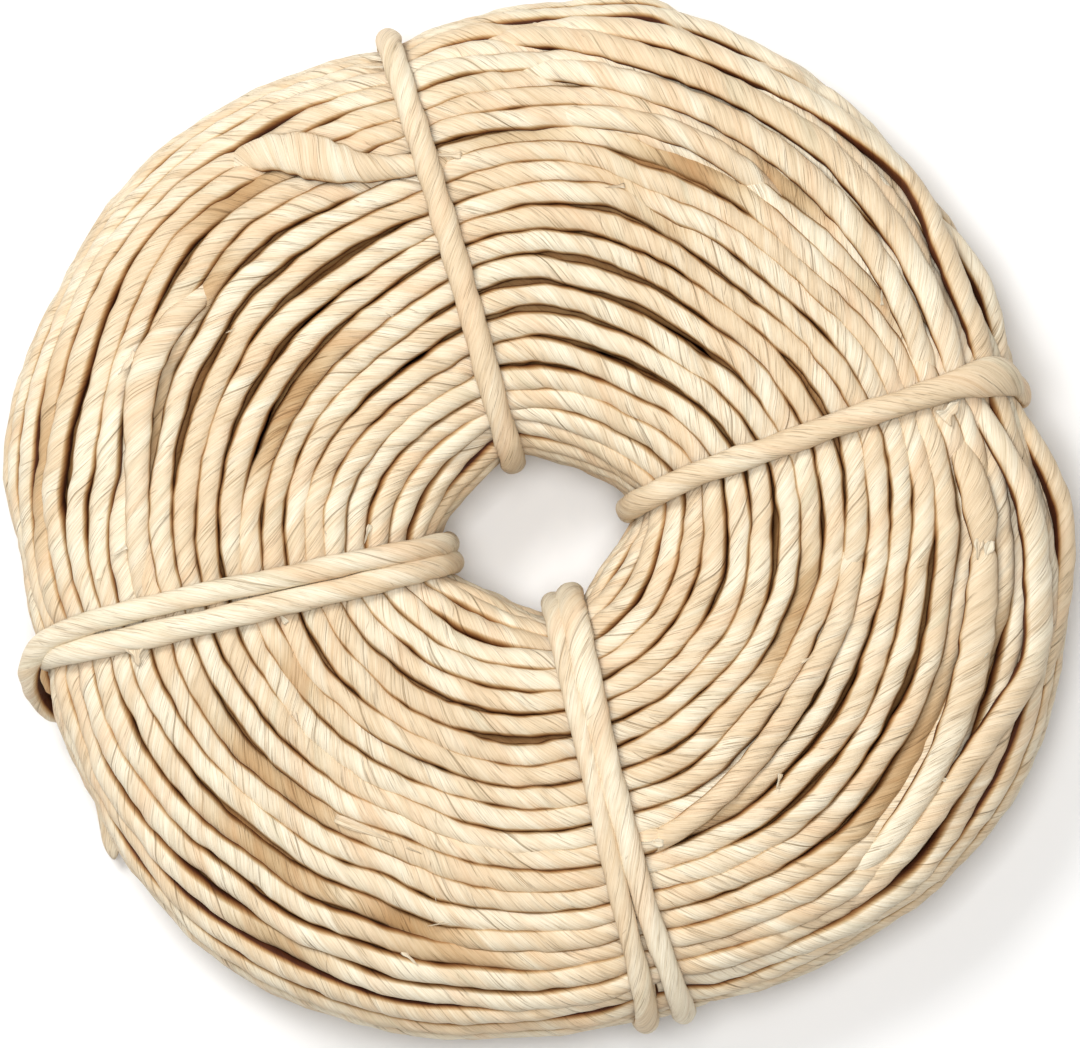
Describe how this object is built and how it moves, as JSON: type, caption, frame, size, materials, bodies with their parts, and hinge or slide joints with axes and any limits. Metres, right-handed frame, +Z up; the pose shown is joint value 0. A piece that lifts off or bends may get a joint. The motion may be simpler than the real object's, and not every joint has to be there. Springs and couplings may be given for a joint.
{
  "type": "tied coil of twisted maize-leaf cord",
  "caption": "Flat round coil of pale, loosely twisted maize-leaf cord, held in shape by ties of the same cord; lies flat with its hole upright.",
  "frame": {"origin": "centre of the bounding box at the plane that the coil rests on", "axes": "+Z up along the axis of the coil's hole, +X and +Y across the coil, +Y towards the single tie that crosses the upper part of the picture"},
  "size_m": [0.2134, 0.2074, 0.0487],
  "materials": {
    "coil_cord": "matte dry leaf",
    "tie_cord": "matte dry leaf",
    "cut_end": "matte dry leaf"
  },
  "bodies": {
    "root": {"coil": "coil_cord", "tie_top": "tie_cord", "tie_right": "tie_cord", "tie_left": "tie_cord", "tie_bottom": "tie_cord", "loose_end": "cut_end"}
  },
  "joints": []
}
